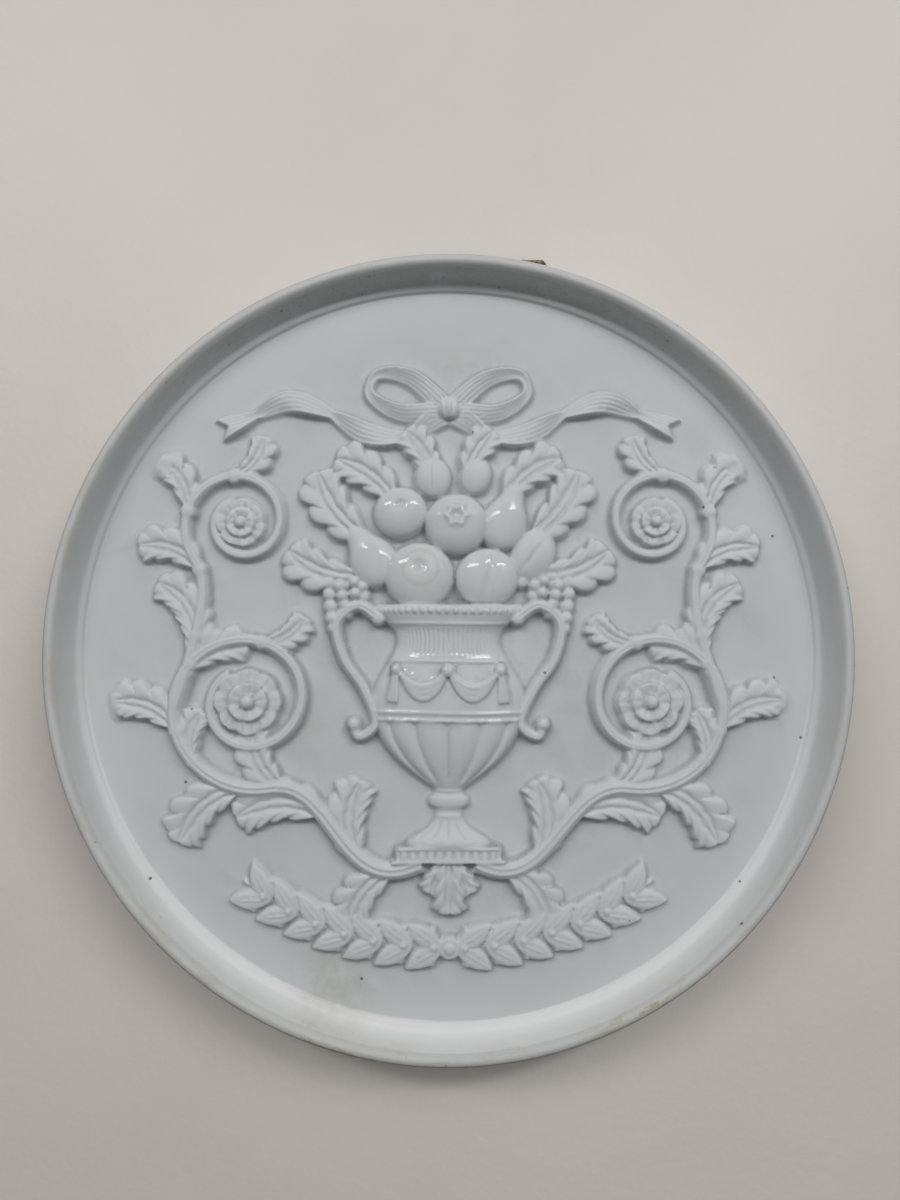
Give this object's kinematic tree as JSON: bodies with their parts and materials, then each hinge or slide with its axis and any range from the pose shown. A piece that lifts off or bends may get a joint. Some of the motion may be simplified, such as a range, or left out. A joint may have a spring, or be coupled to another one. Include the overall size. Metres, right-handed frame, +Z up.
{
  "type": "decorative wall plaque",
  "caption": "Round white biscuit-porcelain wall plaque with a raised rim and a low relief of an urn of fruit between leafy scrolls, on a foot ring at the back.",
  "frame": {"origin": "on the foot ring's flat back at its top, in the wall plane; the plaque's centre is 59.5 mm below it", "axes": "+Z up as hung, front facing -Y, +Y out of the back towards the wall, +X to the right seen from the front"},
  "size_m": [0.145, 0.015, 0.1481],
  "materials": {
    "biscuit_porcelain": "unglazed white biscuit porcelain, smooth and matt, with a few polished high spots and faint grime",
    "brown_linen": "old brown gummed linen, torn at one end"
  },
  "bodies": {
    "root": {"plaque": "biscuit_porcelain", "backing_strip": "brown_linen"}
  },
  "joints": []
}
